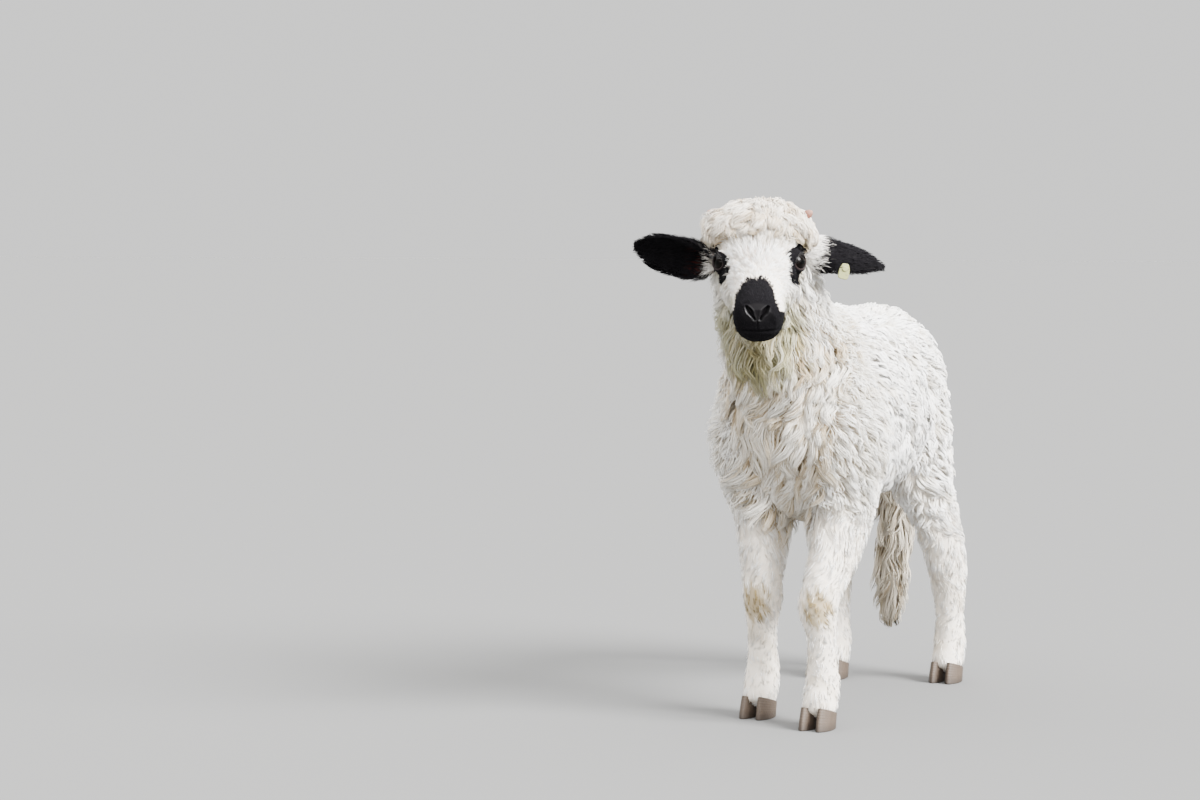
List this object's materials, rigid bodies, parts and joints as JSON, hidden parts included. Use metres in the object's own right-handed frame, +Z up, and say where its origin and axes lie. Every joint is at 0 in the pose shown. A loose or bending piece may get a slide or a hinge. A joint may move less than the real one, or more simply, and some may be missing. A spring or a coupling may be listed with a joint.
{
  "type": "valais blacknose lamb",
  "caption": "Life-size model of a standing Valais Blacknose lamb with its head turned to its left, white fleece, black nose, eye patches and ears.",
  "frame": {"origin": "on the floor, under the middle of the lamb's bounding box", "axes": "the lamb faces -Y, its left side is +X, +Z up"},
  "size_m": [0.262, 0.6911, 0.6452],
  "materials": {
    "white_wool": "short curly white fleece, creamier in its hollows and in the long locks of neck and chest",
    "white_hair": "short slanting white hair with tan stains over the knees",
    "face_hair": "short white hair, black on the muzzle and round the eyes, with curly creamy wool on the crown",
    "ear_hair": "short black hair, white at the root",
    "grey_wool": "long shaded grey-brown to tan wool",
    "eye": "wet dark brown eye with a level pupil",
    "horn": "dull pinkish tan young horn",
    "hoof": "dull brown horn, darker at the ground",
    "tag": "smooth pale yellow-green plastic, blank"
  },
  "bodies": {
    "root": {"torso": "white_wool", "neck": "white_wool", "head": "face_hair", "tail": "grey_wool", "ear_left": "ear_hair", "ear_right": "ear_hair", "ear_tag": "tag", "eye_left": "eye", "eye_right": "eye", "horn_bud_left": "horn", "horn_bud_right": "horn", "leg_fore_left": "white_hair", "leg_fore_right": "white_hair", "leg_hind_left": "white_hair", "leg_hind_right": "white_hair", "hoof_fore_left_inner": "hoof", "hoof_fore_left_outer": "hoof", "hoof_fore_right_inner": "hoof", "hoof_fore_right_outer": "hoof", "hoof_hind_left_inner": "hoof", "hoof_hind_left_outer": "hoof", "hoof_hind_right_inner": "hoof", "hoof_hind_right_outer": "hoof"}
  },
  "joints": []
}
